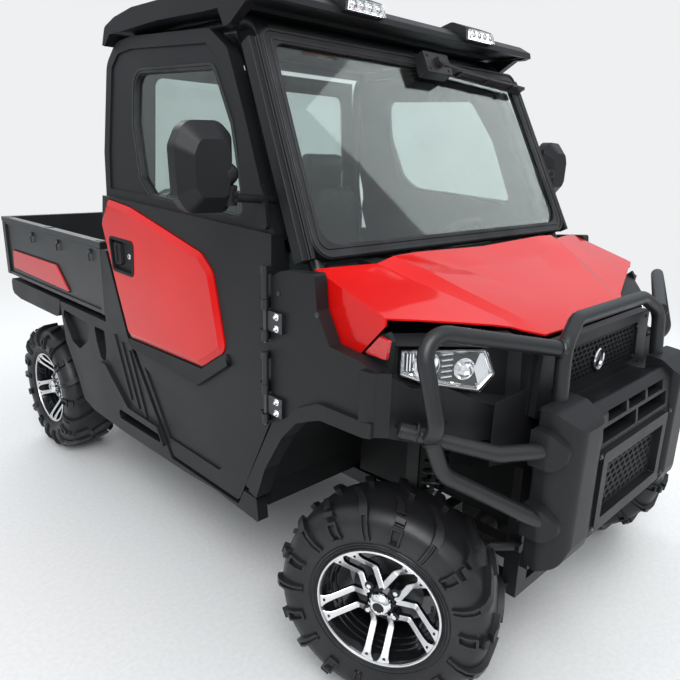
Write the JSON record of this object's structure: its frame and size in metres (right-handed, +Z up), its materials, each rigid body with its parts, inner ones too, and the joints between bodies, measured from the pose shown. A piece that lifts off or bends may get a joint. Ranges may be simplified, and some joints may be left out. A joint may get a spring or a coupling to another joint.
{
  "type": "side by side utility vehicle",
  "caption": "Side by side utility vehicle with closed glazed cab, red hood and door inserts, tipping cargo bed with tailgate, tubular bull bar and lugged off-road tyres.",
  "frame": {"origin": "on the ground under the middle of the whole vehicle", "axes": "+Z up, -Y towards the vehicle's front, +X towards the vehicle's left"},
  "size_m": [1.9892, 3.155, 1.9964],
  "materials": {
    "tyre_rubber": "moulded rubber",
    "alloy": "machined faces with black pockets",
    "cast_steel": "painted black",
    "frame_paint": "satin black",
    "drive_metal": "cast, dull",
    "black_plastic": "textured",
    "dark_plastic": "fine grain",
    "grille_mesh": "satin",
    "lamp_lens": "clear",
    "bar_paint": "wrinkle finish",
    "glass": "clear",
    "rubber_seal": "matte",
    "seat_vinyl": "grained vinyl",
    "red_paint": "gloss",
    "bed_paint": "satin black"
  },
  "bodies": {
    "chassis": {"bull_bar": "bar_paint", "bumper": "black_plastic", "bumper_guards": "black_plastic", "cab_frame": "frame_paint", "cab_tub": "black_plastic", "cowl": "black_plastic", "dashboard": "dark_plastic", "door_hinges": "cast_steel", "drive_units": "drive_metal", "engine_block": "drive_metal", "frame": "frame_paint", "front_carrier": "frame_paint", "front_fascia": "dark_plastic", "front_fenders": "black_plastic", "grilles": "grille_mesh", "hitch_receiver": "frame_paint", "lamps": "lamp_lens", "pillar_covers": "black_plastic", "rear_carrier": "frame_paint", "rear_fenders": "black_plastic", "rear_panel": "black_plastic", "rear_window": "glass", "roof": "black_plastic", "roof_lamps": "lamp_lens", "seats": "seat_vinyl", "shocks": "cast_steel", "side_panels": "black_plastic", "suspension_arms": "frame_paint", "windshield": "glass", "windshield_seal": "rubber_seal", "wiper": "rubber_seal"},
    "knuckle_left": {"knuckle_left": "cast_steel"},
    "knuckle_right": {"knuckle_right": "cast_steel"},
    "wheel_front_left": {"rim_front_left": "alloy", "tyre_front_left": "tyre_rubber"},
    "wheel_front_right": {"rim_front_right": "alloy", "tyre_front_right": "tyre_rubber"},
    "wheel_rear_left": {"rim_rear_left": "alloy", "tyre_rear_left": "tyre_rubber"},
    "wheel_rear_right": {"rim_rear_right": "alloy", "tyre_rear_right": "tyre_rubber"},
    "hand_wheel": {"steering_wheel": "dark_plastic"},
    "door_left": {"door_glass_left": "glass", "door_insert_left": "red_paint", "door_left": "black_plastic", "mirror_left": "black_plastic"},
    "door_right": {"door_glass_right": "glass", "door_insert_right": "red_paint", "door_right": "black_plastic", "mirror_right": "black_plastic"},
    "hood_lid": {"hood": "red_paint"},
    "cargo_bed": {"bed": "bed_paint"},
    "bed_tailgate": {"tailgate": "bed_paint"}
  },
  "joints": [
    {"name": "steer_left", "type": "hinge", "parent": "chassis", "child": "knuckle_left", "pos_m": [0.614, -1.1725, 0.325], "axis": [0, 0, 1], "range_deg": [-53.4, 6.6]},
    {"name": "steer_right", "type": "hinge", "parent": "chassis", "child": "knuckle_right", "pos_m": [-0.614, -1.1725, 0.325], "axis": [0, 0, 1], "range_deg": [-53.4, 6.6]},
    {"name": "steering_wheel_turn", "type": "hinge", "parent": "chassis", "child": "hand_wheel", "pos_m": [0.33, -0.5725, 1.15], "axis": [0, 0.7071, 0.7071], "range_deg": [-427.2, 52.8]},
    {"name": "spin_front_left", "type": "hinge", "parent": "knuckle_left", "child": "wheel_front_left", "pos_m": [0.64153, -1.16059, 0.325], "axis": [0.9178, 0.3971, 0], "continuous": true},
    {"name": "spin_front_right", "type": "hinge", "parent": "knuckle_right", "child": "wheel_front_right", "pos_m": [-0.64153, -1.18441, 0.325], "axis": [0.9178, 0.3971, 0], "continuous": true},
    {"name": "spin_rear_left", "type": "hinge", "parent": "chassis", "child": "wheel_rear_left", "pos_m": [0.66, 1.0475, 0.325], "axis": [1, 0, 0], "continuous": true},
    {"name": "spin_rear_right", "type": "hinge", "parent": "chassis", "child": "wheel_rear_right", "pos_m": [-0.66, 1.0475, 0.325], "axis": [1, 0, 0], "continuous": true},
    {"name": "door_left_hinge", "type": "hinge", "parent": "chassis", "child": "door_left", "pos_m": [0.783, -0.7995, 1], "axis": [0, 0, -1], "range_deg": [0, 65]},
    {"name": "door_right_hinge", "type": "hinge", "parent": "chassis", "child": "door_right", "pos_m": [-0.783, -0.7995, 1], "axis": [0, 0, 1], "range_deg": [0, 65]},
    {"name": "hood_hinge", "type": "hinge", "parent": "chassis", "child": "hood_lid", "pos_m": [0, -0.9225, 1.205], "axis": [-1, 0, 0], "range_deg": [0, 50]},
    {"name": "bed_dump", "type": "hinge", "parent": "chassis", "child": "cargo_bed", "pos_m": [0, 1.4975, 0.8], "axis": [-1, 0, 0], "range_deg": [0, 40]},
    {"name": "tailgate_hinge", "type": "hinge", "parent": "cargo_bed", "child": "bed_tailgate", "pos_m": [0, 1.5625, 0.865], "axis": [-1, 0, 0], "range_deg": [0, 90]}
  ],
  "couplings": [
    {"joint": "steer_right", "follows": "steer_left", "ratio": 1},
    {"joint": "steering_wheel_turn", "follows": "steer_left", "ratio": 8}
  ]
}
